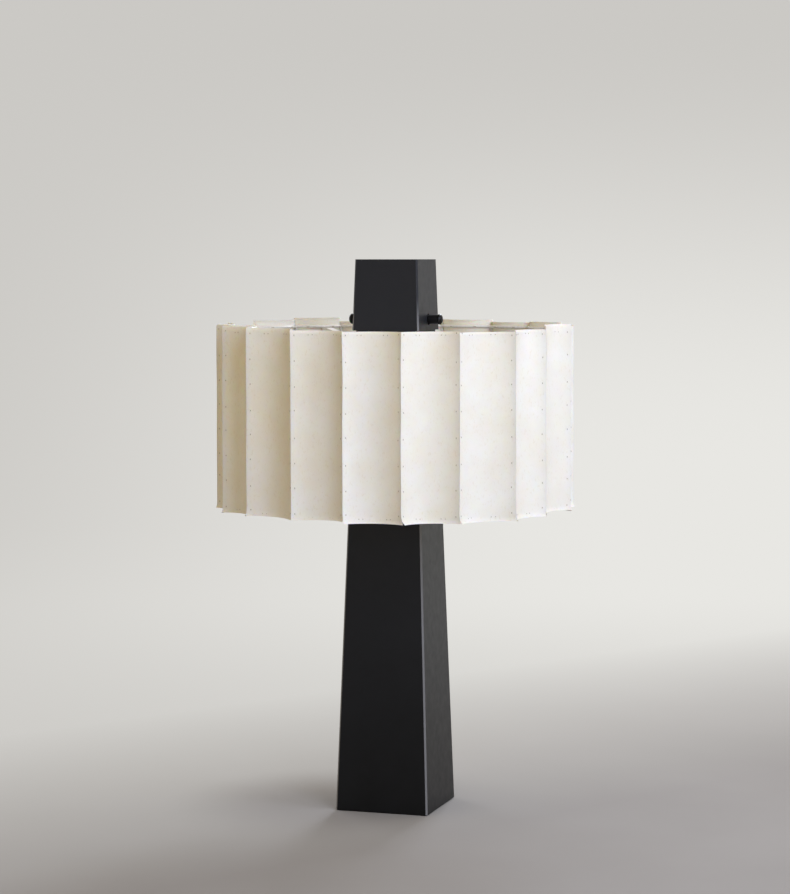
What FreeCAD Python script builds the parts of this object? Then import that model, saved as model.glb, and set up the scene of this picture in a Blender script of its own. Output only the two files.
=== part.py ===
import FreeCAD, Part
import Sketcher
import math
import os
import re

# Table lamp: a square tapered column of blackened steel plate under a loose steel cap, and round it
# a shade of laced paper panels on a scalloped wire frame. Millimetres, +Z up. The origin is on the
# floor under the middle of the column. The front of the lamp looks along -Y.

SIZES = (
    # column and base
    ("foot_half", 53.2, "half width of the column at the floor"),
    ("taper", 0.0335, "half width that a face loses in each millimetre of height"),
    ("column_end", 556, "height of the column's open top end, inside the cap"),
    ("column_wall", 3, "plate thickness of the column"),
    ("edge_bevel", 1.8, "leg of the bevel along the upright edges of column and cap"),
    ("felt_thick", 1, "felt under the foot"),
    ("felt_inset", 1.5, "margin between the felt and the foot's edge"),
    ("weight_thick", 12, "steel plate that closes and weights the foot"),
    ("weight_gap", 0.3, "gap between the weight and the column's inner faces"),
    ("bolt_radius", 3, "shank of the bolt that holds the weight"),
    ("bolt_play", 0.25, "radial play of that bolt in the weight"),
    ("bolt_head", 5.8, "corner radius of the bolt's hexagon head"),
    ("bolt_head_tall", 4, "height of that head"),
    ("bolt_sink", 4.5, "depth of the round recess that hides the head"),
    ("bar_wide", 20, "width of the bar welded across the foot, which takes the bolt"),
    ("bar_thick", 5, "thickness of that bar"),
    ("inlet_rise", 40, "height of the cord inlet in the back face"),
    ("inlet_bore", 3.75, "radius of the way through the inlet bushing"),
    ("bushing_barrel", 6, "radius of the bushing where it passes the wall"),
    ("bushing_flange", 8, "half side of the bushing's square outer flange"),
    ("bushing_lip", 2, "thickness of that flange"),
    ("bushing_tail", 5, "length of the bushing inside the wall"),
    # cap
    ("cap_lap", 24, "length of the column that the cap covers"),
    ("cap_tall", 78, "height of the cap"),
    ("cap_wall", 2.5, "wall of the cap"),
    ("cap_gap", 0.5, "gap between the cap and the column on every side"),
    ("rest_thick", 3, "plate inside the cap that rests on the column's end"),
    ("rest_hole", 15, "half side of the square opening in that plate"),
    # turn-knob switches
    ("knob_rise", 12, "height of the knobs above the cap's lower edge"),
    ("knob_radius", 5.8, "radius of a knob"),
    ("knob_out", 13, "length of a knob's straight side beyond the cap"),
    ("knob_crown", 2.3, "height of a knob's bevelled end"),
    ("knob_flat", 3, "radius of the flat middle of that end"),
    ("knob_play", 0.5, "radial gap round a knob in the cap's wall"),
    ("knob_clear", 0.3, "end gaps of a knob and of its shaft"),
    ("shaft_radius", 2, "radius of a switch shaft"),
    ("shaft_play", 0.05, "radial play of the shaft in its bushing"),
    ("shaft_hold", 9, "length of the shaft inside the knob"),
    ("switch_deep", 15, "depth of a switch body behind the wall"),
    ("switch_wide", 18, "width of a switch body"),
    ("switch_tall", 16, "height of a switch body"),
    ("thread_radius", 4, "radius of the threaded bushing of a switch"),
    ("nut_corner", 5.7, "corner radius of the switch nut"),
    ("nut_thick", 2, "thickness of the switch nut"),
    # shade
    ("shade_lap", 5, "height of the shade's upper edge above the cap's lower edge"),
    ("shade_tall", 203, "height of the paper panels"),
    ("shade_turn", 1.2, "turn of the shade away from the column's front, in degrees"),
    ("flute_count", 20, "number of panels, so of flutes"),
    ("crest_radius", 198.8, "radius of the sharp crests where two panels meet"),
    ("flute_depth", 13, "depth of a flute below the line from crest to crest"),
    ("paper_thick", 0.8, "thickness of a panel"),
    ("seam_angle", 0.015, "half of the open joint between two panels, in degrees"),
    ("frame_gap", 0.3, "gap between the paper and the frame it is laced to"),
    ("bar_size", 3, "side of the square bar of the frame"),
    ("ring_bends", 4, "straight lengths of a ring's bar in one flute"),
    ("ring_inset", 4, "distance of each ring from the panel's edge"),
    ("collar_drop", 26, "depth of the collar's lower face below the cap's lower edge"),
    ("collar_thick", 5, "thickness of the collar"),
    ("collar_half", 47, "half width of the collar"),
    ("collar_corner", 9, "leg of the collar's cut corners"),
    ("seat_gap", 0.1, "gap where a piece seats on the column's taper"),
    ("spoke_wide", 8, "width of a spoke"),
    ("spoke_thick", 3, "thickness of a spoke"),
    ("spoke_tab", 12, "length of the flat tab at each end of a spoke"),
    ("spoke_setback", 0.6, "distance of a spoke's end from the ring's outer side"),
    # lamp arms, lampholders and bulbs
    ("collar_clear", 0.3, "gap between the collar and the cross arm's flanges"),
    ("arm_side", 12, "side of the square tube of the cross arm"),
    ("arm_wall", 1.5, "wall of that tube"),
    ("arm_play", 0.05, "play of the tube and of the switch bushings in their holes"),
    ("arm_leg", 14, "length of the arm's legs below its level part"),
    ("flange_half", 10, "half side of the square flange where the arm leaves the column"),
    ("flange_deep", 4, "thickness of that flange at its lower edge"),
    ("bulb_reach", 104, "distance of a bulb's axis from the middle of the lamp"),
    ("leg_entry", 7, "depth of an arm's leg in the lampholder"),
    ("holder_radius", 19, "radius of a lampholder"),
    ("holder_neck", 12, "radius of the lampholder's flat top"),
    ("holder_slope", 8, "height of its sloping shoulder"),
    ("holder_tall", 48, "height of a lampholder"),
    ("socket_radius", 14, "radius of the socket that takes the bulb"),
    ("socket_roof", 12, "thickness of the lampholder above the socket"),
    ("contact_gap", 0.3, "gap between the bulb's end and the socket's contact"),
    ("base_radius", 13, "radius of the bulb's screw base"),
    ("base_tall", 36.5, "length of the screw base and the neck, inside the socket"),
    ("bulb_radius", 15.5, "radius of the tubular glass"),
    ("bulb_tall", 70, "length of the straight glass"),
    ("bulb_end", 4, "height of the bevel at the glass's end"),
    ("bulb_tip", 8.5, "radius of the end's flat middle"),
)

document = FreeCAD.newDocument("paper_lamp")
sheet = document.addObject("Spreadsheet::Sheet", "Sizes")
for row, (alias, size, meaning) in enumerate(SIZES, 1):
    sheet.set(f"A{row}", meaning)
    sheet.set(f"B{row}", str(size))
    sheet.setAlias(f"B{row}", alias)
document.recompute()

ALIASES = re.compile(r"\b(" + "|".join(alias for alias, _, _ in SIZES) + r")\b")
parts = []


def formula(text):
    """The same formula with every size named in full, as an expression needs it."""
    return ALIASES.sub(r"Sizes.\1", text)


def measure(text):
    """What a formula comes to with the sheet's present sizes."""
    return float(sheet.evalExpression(formula(text)))


# Heights and half widths that several pieces share.
CAP_LOW = "(column_end - cap_lap)"
CAP_TOP = f"({CAP_LOW} + cap_tall)"
KNOB_Z = f"({CAP_LOW} + knob_rise)"
SHADE_TOP = f"({CAP_LOW} + shade_lap)"
SHADE_LOW = f"({SHADE_TOP} - shade_tall)"
COLLAR_LOW = f"({CAP_LOW} - collar_drop)"
ARM_Z = f"({COLLAR_LOW} - collar_clear - flange_half)"
WEIGHT_TOP = "(felt_thick + weight_thick)"
BAR_TOP = f"({WEIGHT_TOP} + bar_thick)"
LEG_LOW = f"({ARM_Z} - arm_side / 2 - arm_leg)"
HOLDER_TOP = f"({LEG_LOW} + leg_entry)"
SOCKET_TOP = f"({HOLDER_TOP} - socket_roof)"


def outside(height):
    """Half width of the column's outer faces at a height."""
    return f"(foot_half - taper * ({height}))"


def inside(height):
    """Half width of the column's inner faces at a height."""
    return f"({outside(height)} - column_wall)"


# ---- ways of making a piece ------------------------------------------------------------------


def new_body(label):
    body = document.addObject("PartDesign::Body", label)
    body.Label = label
    parts.append(body)
    return body


def origin_item(body, role):
    return next(item for item in body.Origin.OriginFeatures if item.Role == role)


def new_sketch(body, name, role, offset="0", right="0", up="0"):
    """Sketch on one of the body's own planes, moved along the plane's normal and within it."""
    sketch = body.newObject("Sketcher::SketchObject", f"{body.Label}_{name}")
    sketch.AttachmentSupport = [(origin_item(body, role), "")]
    sketch.MapMode = "FlatFace"
    sketch.setExpression("AttachmentOffset.Base.x", formula(right))
    sketch.setExpression("AttachmentOffset.Base.y", formula(up))
    sketch.setExpression("AttachmentOffset.Base.z", formula(offset))
    return sketch


def hold(sketch, kind, name, text, *places):
    """Constraint of the sketch whose size follows a formula."""
    sketch.addConstraint(Sketcher.Constraint(kind, *places, measure(text)))
    index = sketch.ConstraintCount - 1
    sketch.renameConstraint(index, name)
    sketch.setExpression(f"Constraints.{name}", formula(text))


def pin(sketch, item, end, across, along=None):
    """Hold one end of a line or arc at its distances from the sketch's origin."""
    hold(sketch, "DistanceX", f"across{item}_{end}", across, -1, 1, item, end)
    if along is not None:
        hold(sketch, "DistanceY", f"along{item}_{end}", along, -1, 1, item, end)


def polygon(sketch, corners):
    """Closed outline of straight lines through corners given as pairs of formulas."""
    first = sketch.GeometryCount
    spots = [FreeCAD.Vector(measure(across), measure(along), 0) for across, along in corners]
    for index, spot in enumerate(spots):
        sketch.addGeometry(Part.LineSegment(spot, spots[(index + 1) % len(spots)]), False)
    for index, (across, along) in enumerate(corners):
        following = first + (index + 1) % len(corners)
        sketch.addConstraint(Sketcher.Constraint("Coincident", first + index, 2, following, 1))
        pin(sketch, first + index, 1, across, along)


def rectangle(sketch, half_wide, half_long, across="0", along="0"):
    """Rectangle of two half sizes round a centre."""
    low_x, high_x = f"({across}) - ({half_wide})", f"({across}) + ({half_wide})"
    low_y, high_y = f"({along}) - ({half_long})", f"({along}) + ({half_long})"
    polygon(sketch, [(low_x, low_y), (high_x, low_y), (high_x, high_y), (low_x, high_y)])


def square(sketch, half, across="0", along="0"):
    rectangle(sketch, half, half, across, along)


def circle(sketch, radius, across="0", along="0"):
    centre = FreeCAD.Vector(measure(across), measure(along), 0)
    normal = FreeCAD.Vector(0, 0, 1)
    item = sketch.addGeometry(Part.Circle(centre, normal, measure(radius)), False)
    pin(sketch, item, 3, across, along)
    hold(sketch, "Radius", f"radius{item}", radius, item)


def hexagon(sketch, corner):
    """Hexagon with a corner radius, its flats above and below."""
    turns = [f"{60 * step}" for step in range(6)]
    polygon(sketch, [(f"{corner} * cos({turn})", f"{corner} * sin({turn})") for turn in turns])


def swept(body, kind, name, sketch, length, both_ways=False):
    """Pad or Pocket of a sketch over a length given as a formula."""
    feature = body.newObject(f"PartDesign::{kind}", f"{body.Label}_{name}")
    feature.Profile = sketch
    feature.SideType = "Symmetric" if both_ways else "One side"
    feature.setExpression("Length", formula(length))
    return feature


def drafted(body, block):
    """Lean a block's upright faces inwards at the column's taper, measured from the floor."""
    document.recompute()
    upright = faces_looking(block, lambda rise: abs(rise) < 0.5)
    feature = body.newObject("PartDesign::Draft", f"{body.Label}_lean")
    feature.Base = (block, upright)
    feature.NeutralPlane = (origin_item(body, "XY_Plane"), [""])
    feature.setExpression("Angle", formula("atan(taper)"))
    return feature


def hollowed(body, block, wall, is_open):
    """Leave a wall inside a block; is_open tells from a face's upward lean if it is left out."""
    document.recompute()
    feature = body.newObject("PartDesign::Thickness", f"{body.Label}_wall")
    feature.Base = (block, faces_looking(block, is_open))
    feature.Reversed = True
    feature.Join = "Intersection"
    feature.setExpression("Value", formula(wall))
    return feature


def faces_looking(feature, fits):
    """Names of the flat faces whose outward normal has a fitting upward part."""
    faces = enumerate(feature.Shape.Faces, 1)
    return [f"Face{number}" for number, face in faces if fits(face.normalAt(0, 0).z)]


def bevelled(body, block, leg):
    """Chamfer along the four upright corners that stand furthest out."""
    document.recompute()
    upright = []
    for number, edge in enumerate(block.Shape.Edges, 1):
        low, high = sorted((vertex.Point for vertex in edge.Vertexes), key=lambda point: point.z)
        if high.z - low.z > math.hypot(high.x - low.x, high.y - low.y):
            upright.append((math.hypot(low.x, low.y), f"Edge{number}"))
    feature = body.newObject("PartDesign::Chamfer", f"{body.Label}_bevel")
    feature.Base = (block, [name for _, name in sorted(upright)[-4:]])
    feature.setExpression("Size", formula(leg))


def turned(body, sketch, axis):
    """Revolution of a sketch about its own horizontal or vertical axis."""
    feature = body.newObject("PartDesign::Revolution", f"{body.Label}_turned")
    feature.Profile = sketch
    feature.ReferenceAxis = (sketch, [axis])
    return feature


def repeated(body, features, count):
    """Copies of features in equal steps round the lamp's axis."""
    pattern = body.newObject("PartDesign::PolarPattern", f"{body.Label}_round")
    pattern.Originals = features
    pattern.Axis = (origin_item(body, "Z_Axis"), [""])
    pattern.setExpression("Occurrences", formula(count))
    body.Tip = pattern


def facing(body, degrees):
    """Turn a finished piece about the lamp's axis."""
    body.setExpression("Placement.Rotation.Angle", formula(degrees))


# ---- column and base -------------------------------------------------------------------------


def make_column():
    body = new_body("column")
    outline = new_sketch(body, "outline", "XY_Plane", offset="felt_thick")
    square(outline, "foot_half")
    block = swept(body, "Pad", "block", outline, "column_end - felt_thick")
    tube = hollowed(body, drafted(body, block), "column_wall", lambda rise: abs(rise) > 0.5)
    bevelled(body, tube, "edge_bevel")
    holes = new_sketch(body, "side_holes", "YZ_Plane", offset="foot_half")
    circle(holes, "thread_radius + arm_play", along=KNOB_Z)
    square(holes, "arm_side / 2 + arm_play", along=ARM_Z)
    swept(body, "Pocket", "side_cuts", holes, "2 * foot_half")
    inlet = new_sketch(body, "inlet_hole", "XZ_Plane")
    circle(inlet, "bushing_barrel + seat_gap", along="inlet_rise")
    swept(body, "Pocket", "inlet_cut", inlet, "foot_half")


def make_foot():
    """Felt, the weight that closes the foot, and the bolt that draws it up to a welded bar."""
    felt = new_body("felt_pad")
    outline = new_sketch(felt, "outline", "XY_Plane")
    square(outline, "foot_half - felt_inset")
    swept(felt, "Pad", "sheet", outline, "felt_thick")

    weight = new_body("base_weight")
    outline = new_sketch(weight, "outline", "XY_Plane", offset="felt_thick")
    square(outline, f"{inside(WEIGHT_TOP)} - weight_gap")
    swept(weight, "Pad", "plate", outline, "weight_thick")
    shank = new_sketch(weight, "shank", "XY_Plane", offset=WEIGHT_TOP)
    circle(shank, "bolt_radius + bolt_play")
    swept(weight, "Pocket", "drilling", shank, "weight_thick")
    recess = new_sketch(weight, "recess", "XY_Plane", offset="felt_thick + bolt_sink")
    circle(recess, "bolt_head + bolt_play")
    swept(weight, "Pocket", "sinking", recess, "bolt_sink")

    bar = new_body("foot_bar")
    strip = new_sketch(bar, "strip", "XY_Plane", offset=WEIGHT_TOP)
    rectangle(strip, f"{inside(BAR_TOP)} - seat_gap", "bar_wide / 2")
    circle(strip, "bolt_radius + arm_play")
    swept(bar, "Pad", "flat", strip, "bar_thick")

    bolt = new_body("base_bolt")
    head = new_sketch(bolt, "head", "XY_Plane", offset="felt_thick + bolt_sink - bolt_head_tall")
    hexagon(head, "bolt_head")
    swept(bolt, "Pad", "head_pad", head, "bolt_head_tall")
    shank = new_sketch(bolt, "shank", "XY_Plane", offset="felt_thick + bolt_sink")
    circle(shank, "bolt_radius")
    swept(bolt, "Pad", "shank_pad", shank, f"{BAR_TOP} - felt_thick - bolt_sink + bolt_radius")


def make_inlet():
    """Bushing for the cord, pushed into the back face from outside."""
    body = new_body("cord_bushing")
    seat = f"({outside('inlet_rise - bushing_flange')} + seat_gap)"
    flange = new_sketch(body, "flange", "XZ_Plane", offset=f"-{seat}")
    square(flange, "bushing_flange", along="inlet_rise")
    swept(body, "Pad", "flange_pad", flange, "bushing_lip").Reversed = True
    barrel = new_sketch(body, "barrel", "XZ_Plane", offset=f"-{seat}")
    circle(barrel, "bushing_barrel", along="inlet_rise")
    barrel_long = f"{seat} - {inside('inlet_rise')} + bushing_tail"
    swept(body, "Pad", "barrel_pad", barrel, barrel_long)
    bore = new_sketch(body, "bore", "XZ_Plane")
    circle(bore, "inlet_bore", along="inlet_rise")
    swept(body, "Pocket", "boring", bore, "2 * foot_half")


# ---- cap -------------------------------------------------------------------------------------


def make_cap():
    body = new_body("cap")
    outline = new_sketch(body, "outline", "XY_Plane", offset=CAP_LOW)
    square(outline, "foot_half + cap_gap + cap_wall")
    block = swept(body, "Pad", "block", outline, "cap_tall")
    shell = hollowed(body, drafted(body, block), "cap_wall", lambda rise: rise < -0.5)
    bevelled(body, shell, "edge_bevel")
    holes = new_sketch(body, "knob_holes", "YZ_Plane", offset="foot_half")
    circle(holes, "knob_radius + knob_play", along=KNOB_Z)
    swept(body, "Pocket", "drilling", holes, "2 * foot_half")

    rest = new_body("cap_rest_plate")
    outline = new_sketch(rest, "outline", "XY_Plane", offset="column_end")
    square(outline, f"{outside('column_end + rest_thick')} + cap_gap - seat_gap")
    square(outline, "rest_hole")
    swept(rest, "Pad", "plate", outline, "rest_thick")


# ---- switches and knobs ----------------------------------------------------------------------


def make_switch(side, turn):
    """Rotary switch behind the column's wall, its nut, its shaft and the knob, made on +X."""
    front = f"({inside(f'{KNOB_Z} + switch_tall / 2')} - seat_gap)"
    seat = f"({outside(f'{KNOB_Z} - nut_corner')} + seat_gap)"
    thread_end = f"({seat} + nut_thick)"
    knob_start = f"({thread_end} + knob_clear)"
    shaft_start = f"({front} - switch_deep / 2)"
    shaft_end = f"({knob_start} + shaft_hold)"

    switch = new_body(f"switch_{side}")
    box = new_sketch(switch, "box", "YZ_Plane", offset=f"{front} - switch_deep")
    rectangle(box, "switch_wide / 2", "switch_tall / 2", along=KNOB_Z)
    swept(switch, "Pad", "housing", box, "switch_deep")
    thread = new_sketch(switch, "thread", "YZ_Plane", offset=front)
    circle(thread, "thread_radius", along=KNOB_Z)
    swept(switch, "Pad", "bushing", thread, f"{thread_end} - {front}")
    bore = new_sketch(switch, "bore", "YZ_Plane", offset=thread_end)
    circle(bore, "shaft_radius + shaft_play", along=KNOB_Z)
    swept(switch, "Pocket", "boring", bore, f"{thread_end} - {shaft_start} + knob_clear")

    nut = new_body(f"switch_nut_{side}")
    outline = new_sketch(nut, "outline", "YZ_Plane", offset=seat, up=KNOB_Z)
    hexagon(outline, "nut_corner")
    circle(outline, "thread_radius + arm_play")
    swept(nut, "Pad", "hexagon", outline, "nut_thick")

    shaft = new_body(f"switch_shaft_{side}")
    rod = new_sketch(shaft, "rod", "YZ_Plane", offset=shaft_start)
    circle(rod, "shaft_radius", along=KNOB_Z)
    swept(shaft, "Pad", "turned", rod, f"{shaft_end} - {shaft_start}")

    knob = new_body(f"knob_{side}")
    side_end = f"({outside(KNOB_Z)} + cap_gap + cap_wall + knob_out)"
    tip = f"({side_end} + knob_crown)"
    bore_end = f"({shaft_end} + knob_clear)"
    profile = new_sketch(knob, "profile", "XZ_Plane", up=KNOB_Z)
    polygon(
        profile,
        [
            (knob_start, "shaft_radius + shaft_play"),
            (knob_start, "knob_radius"),
            (side_end, "knob_radius"),
            (tip, "knob_flat"),
            (tip, "0"),
            (bore_end, "0"),
            (bore_end, "shaft_radius + shaft_play"),
        ],
    )
    turned(knob, profile, "H_Axis")

    for body in (switch, nut, shaft, knob):
        facing(body, turn)


# ---- shade -----------------------------------------------------------------------------------

HALF_PITCH = "(180 / flute_count)"
FLUTE_RADIUS = f"(((crest_radius * sin({HALF_PITCH}))^2 + flute_depth^2) / (2 * flute_depth))"
FLUTE_CENTRE = f"(crest_radius * cos({HALF_PITCH}) - flute_depth + {FLUTE_RADIUS})"
FLUTE_TURN = f"asin(crest_radius * sin({HALF_PITCH}) / {FLUTE_RADIUS})"
RING_SIDE = f"(({FLUTE_RADIUS} + paper_thick + frame_gap) / cos({FLUTE_TURN} / ring_bends))"


def reach(radius, angle):
    """Distance from the lamp's axis to a flute's circle, along a ray at an angle to the flute."""
    return (
        f"({FLUTE_CENTRE} * cos({angle})"
        f" - sqrt(({radius})^2 - ({FLUTE_CENTRE} * sin({angle}))^2))"
    )


def flute_strip(sketch, near, far, angle):
    """Curved strip of one flute between two radii, cut off at equal angles on both sides."""
    middle = FreeCAD.Vector(0, -measure(FLUTE_CENTRE), 0)
    normal = FreeCAD.Vector(0, 0, 1)
    for item, radius in enumerate((near, far)):
        across = f"{reach(radius, angle)} * sin({angle})"
        along = f"-{reach(radius, angle)} * cos({angle})"
        right = FreeCAD.Vector(measure(across), measure(along), 0)
        left = FreeCAD.Vector(-right.x, right.y, 0)
        full = Part.Circle(middle, normal, measure(radius))
        arc = Part.Arc(full, full.parameter(right), full.parameter(left))
        sketch.addGeometry(arc, False)
        sketch.addConstraint(Sketcher.Constraint("PointOnObject", item, 3, -2))
        hold(sketch, "DistanceY", f"centre{item}", f"-{FLUTE_CENTRE}", -1, 1, item, 3)
        pin(sketch, item, 1, across, along)
        pin(sketch, item, 2, f"-{across}")
    for item, end in ((2, 1), (3, 2)):
        ends = [sketch.getPoint(0, end), sketch.getPoint(1, end)]
        sketch.addGeometry(Part.LineSegment(*ends), False)
        sketch.addConstraint(Sketcher.Constraint("Coincident", item, 1, 0, end))
        sketch.addConstraint(Sketcher.Constraint("Coincident", item, 2, 1, end))


def bent_bar(sketch):
    """Bar of straight lengths that follows one flute, its ends on the rays to the two crests."""
    lengths = int(measure("ring_bends"))
    sides = []
    for radius in (RING_SIDE, f"({RING_SIDE} + bar_size)"):
        turn = f"asin({reach(radius, HALF_PITCH)} * sin({HALF_PITCH}) / {radius})"
        bends = [f"({turn} * {2 * bend / lengths - 1})" for bend in range(lengths + 1)]
        sides.append(
            [
                (f"{radius} * sin({bend})", f"{radius} * cos({bend}) - {FLUTE_CENTRE}")
                for bend in bends
            ]
        )
    near, far = sides
    polygon(sketch, near + far[::-1])


def make_pleats():
    """The paper panels: each a sheet bent into one flute, its edges meeting on the crests."""
    for number in range(int(measure("flute_count"))):
        body = new_body(f"pleat_{number + 1:02d}")
        outline = new_sketch(body, "outline", "XY_Plane", offset=SHADE_LOW)
        edge = f"({HALF_PITCH} - seam_angle)"
        flute_strip(outline, FLUTE_RADIUS, f"({FLUTE_RADIUS} + paper_thick)", edge)
        swept(body, "Pad", "sheet", outline, "shade_tall")
        facing(body, f"shade_turn + {2 * number + 1} * {HALF_PITCH}")


def make_frame():
    """Two scalloped rings of square bar, and an upright bar in the fold of each crest."""
    rings = (
        ("top_ring", f"{SHADE_TOP} - ring_inset - bar_size"),
        ("bottom_ring", f"{SHADE_LOW} + ring_inset"),
    )
    for label, height in rings:
        ring = new_body(label)
        outline = new_sketch(ring, "scallop", "XY_Plane", offset=height)
        bent_bar(outline)
        repeated(ring, [swept(ring, "Pad", "first", outline, "bar_size")], "flute_count")
        facing(ring, f"shade_turn + {HALF_PITCH}")

    ribs = new_body("crest_ribs")
    low = f"({SHADE_LOW} + ring_inset + bar_size)"
    high = f"({SHADE_TOP} - ring_inset - bar_size)"
    corner = "(bar_size / sqrt(2))"
    centre = reach(f"({RING_SIDE} + {corner})", HALF_PITCH)
    section = new_sketch(ribs, "section", "XY_Plane", offset=low)
    polygon(
        section,
        [
            ("0", f"-{centre} - {corner}"),
            (corner, f"-{centre}"),
            ("0", f"{corner} - {centre}"),
            (f"-{corner}", f"-{centre}"),
        ],
    )
    repeated(ribs, [swept(ribs, "Pad", "first", section, f"{high} - {low}")], "flute_count")
    facing(ribs, "shade_turn")


def make_spider():
    """Collar that wedges on the column's taper, and four cranked spokes that carry the frame."""
    collar = new_body("spider_collar")
    outline = new_sketch(collar, "outline", "XY_Plane", offset=COLLAR_LOW)
    square(outline, "collar_half")
    plate = swept(collar, "Pad", "plate", outline, "collar_thick")
    bevelled(collar, plate, "collar_corner")
    sections = []
    for end, height in (("low", COLLAR_LOW), ("high", f"{COLLAR_LOW} + collar_thick")):
        section = new_sketch(collar, f"seat_{end}", "XY_Plane", offset=height)
        square(section, f"{outside(height)} + seat_gap")
        sections.append(section)
    seat = collar.newObject("PartDesign::SubtractiveLoft", "spider_collar_seat")
    seat.Profile = sections[0]
    seat.Sections = sections[1:]

    low = f"({COLLAR_LOW} + collar_thick)"
    high = f"({SHADE_TOP} - ring_inset - bar_size - spoke_thick)"
    start = f"(sqrt(2) * {outside(low)} + seat_gap)"
    end = f"({FLUTE_CENTRE} - {RING_SIDE} - spoke_setback)"
    corners_along = (start, f"({start} + spoke_tab)", f"({end} - spoke_tab)", end)
    for number in range(4):
        spoke = new_body(f"spoke_{number + 1}")
        profile = new_sketch(spoke, "profile", "XZ_Plane")
        under = list(zip(corners_along, (low, low, high, high)))
        over = [(across, f"{along} + spoke_thick") for across, along in reversed(under)]
        polygon(profile, under + over)
        swept(spoke, "Pad", "strip", profile, "spoke_wide", both_ways=True)
        facing(spoke, f"{45 + 90 * number}")


# ---- cross arm, lampholders and bulbs ----------------------------------------------------------


def make_cross_arm():
    """Square tube through the column, mitred down at both ends into two legs."""
    body = new_body("cross_arm")
    outer = new_sketch(body, "outer", "XZ_Plane")
    bridge(outer, "arm_side / 2")
    swept(body, "Pad", "tube", outer, "arm_side", both_ways=True)
    channel = "(arm_side / 2 - arm_wall)"
    inner = new_sketch(body, "inner", "XZ_Plane", offset=channel)
    bridge(inner, channel)
    swept(body, "Pocket", "lead_way", inner, f"2 * {channel}")
    slot = new_sketch(body, "slot", "XY_Plane", offset=f"{ARM_Z} - {channel}")
    rectangle(slot, "arm_side", f"{channel} - arm_wall")
    swept(body, "Pocket", "lead_slot", slot, "arm_wall")


def bridge(sketch, half):
    """Side view of the level tube and its two legs, each of one half width."""
    far, near = f"(bulb_reach + {half})", f"(bulb_reach - {half})"
    top, under = f"({ARM_Z} + {half})", f"({ARM_Z} - {half})"
    right = [(near, under), (near, LEG_LOW), (far, LEG_LOW), (far, top)]
    left = [(f"-{across}", along) for across, along in reversed(right)]
    polygon(sketch, right + left)


def make_flange(side, turn):
    """Square flange where the arm leaves the column, made on +X, its back cut to the taper."""
    body = new_body(f"arm_flange_{side}")
    low, high = f"({ARM_Z} - flange_half)", f"({ARM_Z} + flange_half)"
    face = f"({outside(low)} + seat_gap + flange_deep)"
    profile = new_sketch(body, "profile", "XZ_Plane")
    polygon(
        profile,
        [
            (f"{outside(low)} + seat_gap", low),
            (face, low),
            (face, high),
            (f"{outside(high)} + seat_gap", high),
        ],
    )
    swept(body, "Pad", "wedge", profile, "2 * flange_half", both_ways=True)
    hole = new_sketch(body, "hole", "YZ_Plane", offset=face)
    square(hole, "arm_side / 2 + arm_play", along=ARM_Z)
    swept(body, "Pocket", "opening", hole, f"{face} - {outside(high)}")
    facing(body, turn)


def make_lampholders():
    """Both lampholders: a round shell with a sloping shoulder, hung on the arm's square leg."""
    body = new_body("lampholders")
    shell = new_sketch(body, "shell", "XZ_Plane", right="bulb_reach")
    polygon(
        shell,
        [
            ("0", HOLDER_TOP),
            ("holder_neck", HOLDER_TOP),
            ("holder_radius", f"{HOLDER_TOP} - holder_slope"),
            ("holder_radius", f"{HOLDER_TOP} - holder_tall"),
            ("socket_radius", f"{HOLDER_TOP} - holder_tall"),
            ("socket_radius", SOCKET_TOP),
            ("0", SOCKET_TOP),
        ],
    )
    recess = new_sketch(body, "recess", "XY_Plane", offset=HOLDER_TOP)
    square(recess, "arm_side / 2 + arm_play", "bulb_reach")
    leads = new_sketch(body, "leads", "XY_Plane", offset=HOLDER_TOP)
    square(leads, "arm_side / 2 - arm_wall", "bulb_reach")
    features = [
        turned(body, shell, "V_Axis"),
        swept(body, "Pocket", "leg_recess", recess, "leg_entry"),
        swept(body, "Pocket", "lead_way", leads, "socket_roof"),
    ]
    repeated(body, features, "2")


def make_bulbs():
    """Both bulbs: a screw base and a tubular glass."""
    body = new_body("bulbs")
    base_top = f"({SOCKET_TOP} - contact_gap)"
    base_low = f"({base_top} - base_tall)"
    glass_low = f"({base_low} - bulb_tall)"
    tip = f"({glass_low} - bulb_end)"
    profile = new_sketch(body, "profile", "XZ_Plane", right="bulb_reach")
    polygon(
        profile,
        [
            ("0", base_top),
            ("base_radius", base_top),
            ("base_radius", base_low),
            ("bulb_radius", base_low),
            ("bulb_radius", glass_low),
            ("bulb_tip", tip),
            ("0", tip),
        ],
    )
    repeated(body, [turned(body, profile, "V_Axis")], "2")


# ---- the whole lamp --------------------------------------------------------------------------

make_column()
make_foot()
make_inlet()
make_cap()
make_pleats()
make_frame()
make_spider()
make_cross_arm()
make_lampholders()
make_bulbs()
for side, turn in (("right", "0"), ("left", "180")):
    make_switch(side, turn)
    make_flange(side, turn)
document.recompute()

for item in document.Objects:
    if "Invalid" in item.State or "Error" in item.State:
        raise RuntimeError(f"{item.Label} failed: {item.State}")
os.makedirs("parts", exist_ok=True)
for body in parts:
    if body.Shape.isNull() or not body.Shape.isValid():
        raise RuntimeError(f"{body.Label} has no valid shape")
    body.Shape.exportStep(f"parts/{body.Label}.step")
print(len(parts), "parts,", sum(len(body.Shape.Solids) for body in parts), "solids")
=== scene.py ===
import math
import random
import bpy
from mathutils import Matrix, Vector, noise


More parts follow.
